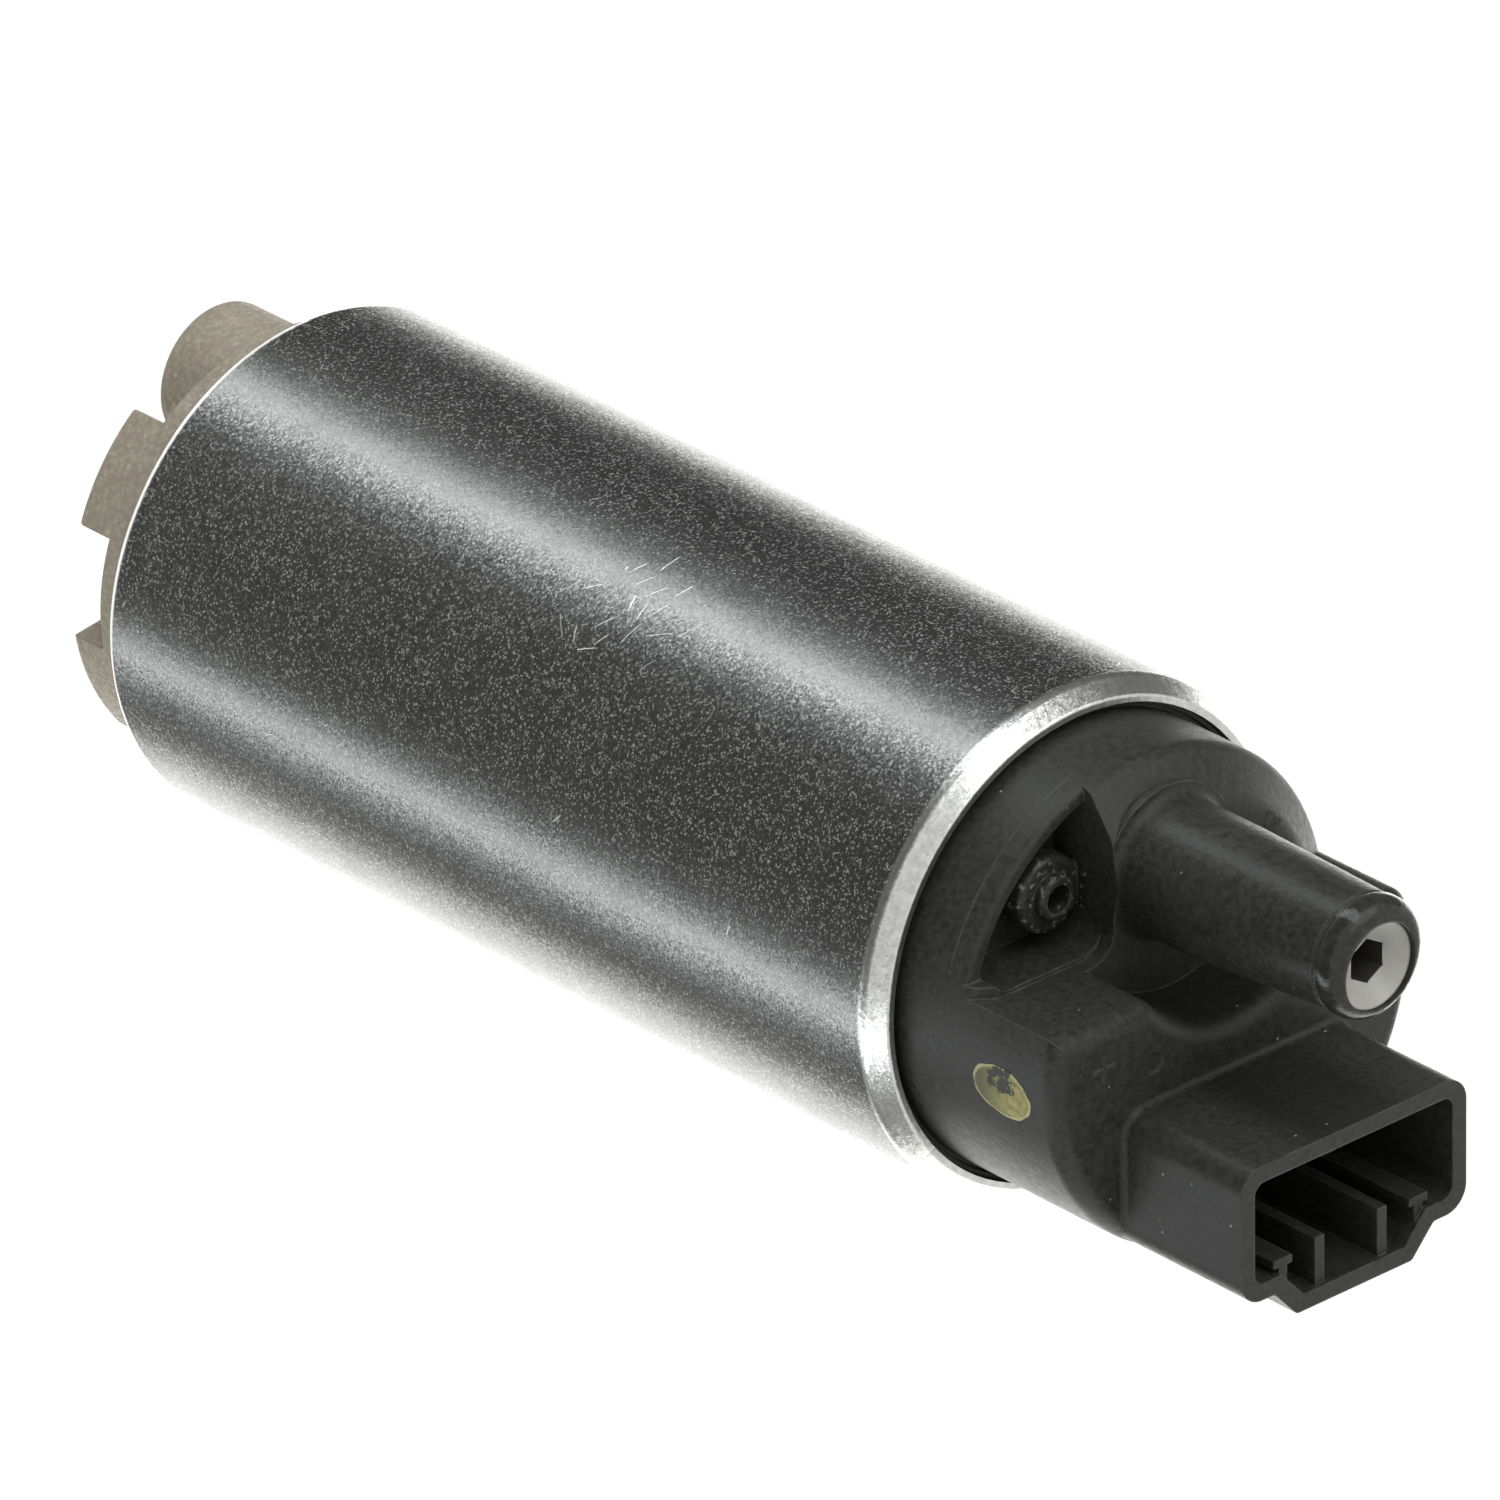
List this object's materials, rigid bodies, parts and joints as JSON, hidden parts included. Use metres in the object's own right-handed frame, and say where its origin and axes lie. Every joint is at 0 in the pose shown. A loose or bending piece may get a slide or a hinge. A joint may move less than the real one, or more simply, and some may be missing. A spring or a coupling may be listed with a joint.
{
  "type": "electric fuel pump",
  "caption": "In-tank electric fuel pump: steel can, black end cover with a plug socket and an outlet nozzle, tan inlet cover.",
  "frame": {"origin": "on the pump's axis, where the can's straight wall begins at the inlet end", "axes": "+Z along the pump's axis towards the outlet, +Y towards the outlet nozzle, the plug socket on the -Y side"},
  "size_m": [0.038, 0.038, 0.1188],
  "materials": {
    "can_steel": "satin plated steel",
    "tan_moulding": "glass-filled, matt",
    "black_moulding": "glass-filled, satin",
    "white_moulding": "natural acetal",
    "pump_moulding": "phenolic, matt",
    "holder_moulding": "moulded, matt",
    "ground_steel": "ground",
    "spring_steel": "drawn wire",
    "electrical_steel": "stamped laminations",
    "copper": "bare copper",
    "enamelled_copper": "enamelled wire",
    "bronze": "sintered",
    "ferrite": "ground ferrite",
    "carbon": "pressed carbon",
    "brass_seat": "turned",
    "tinned_brass": "tin plated",
    "black_rubber": "moulded"
  },
  "bodies": {
    "pump": {"housing_can": "can_steel", "inlet_cover": "tan_moulding", "pump_casing": "pump_moulding", "thrust_pin": "ground_steel", "lower_bush": "bronze", "magnet_a": "ferrite", "magnet_b": "ferrite", "magnet_clips": "spring_steel", "bearing_holder": "holder_moulding", "upper_bush": "bronze", "brush_spring_a": "spring_steel", "brush_spring_b": "spring_steel", "pigtail_a": "copper", "pigtail_b": "copper", "choke_cores": "ferrite", "choke_coils": "enamelled_copper", "terminal_a": "tinned_brass", "terminal_b": "tinned_brass", "end_cover": "black_moulding", "end_cover_seal": "black_rubber", "check_valve_spring": "spring_steel", "outlet_retainer": "white_moulding", "relief_valve_spring": "spring_steel", "relief_valve_seat": "brass_seat"},
    "rotor": {"shaft": "ground_steel", "impeller": "pump_moulding", "armature_core": "electrical_steel", "armature_windings": "enamelled_copper", "armature_insulators": "white_moulding", "commutator_base": "pump_moulding", "commutator_segments": "copper", "thrust_washers": "white_moulding"},
    "left_brush": {"brush_a": "carbon"},
    "right_brush": {"brush_b": "carbon"},
    "outlet_valve": {"check_valve_poppet": "white_moulding", "check_valve_seal": "black_rubber"},
    "relief_valve": {"relief_valve_ball": "ground_steel"}
  },
  "joints": [
    {"name": "rotor_spin", "type": "hinge", "parent": "pump", "child": "rotor", "pos_m": [0, 0, 0.03], "axis": [0, 0, 1], "continuous": true},
    {"name": "left_brush_slide", "type": "slide", "parent": "pump", "child": "left_brush", "axis": [0, 0, 1], "range_m": [0, 0.002], "stiffness_N_per_m": 150, "springref_m": -0.007, "deforming": ["brush_spring_a", "pigtail_a"]},
    {"name": "right_brush_slide", "type": "slide", "parent": "pump", "child": "right_brush", "axis": [0, 0, 1], "range_m": [0, 0.002], "stiffness_N_per_m": 150, "springref_m": -0.007, "deforming": ["brush_spring_b", "pigtail_b"]},
    {"name": "outlet_valve_lift", "type": "slide", "parent": "pump", "child": "outlet_valve", "axis": [0, 0, 1], "range_m": [0, 0.0016], "stiffness_N_per_m": 100, "springref_m": -0.003, "deforming": ["check_valve_spring"]},
    {"name": "relief_valve_lift", "type": "slide", "parent": "pump", "child": "relief_valve", "axis": [0, 0, 1], "range_m": [0, 0.0008], "stiffness_N_per_m": 300, "springref_m": -0.006, "deforming": ["relief_valve_spring"]}
  ]
}
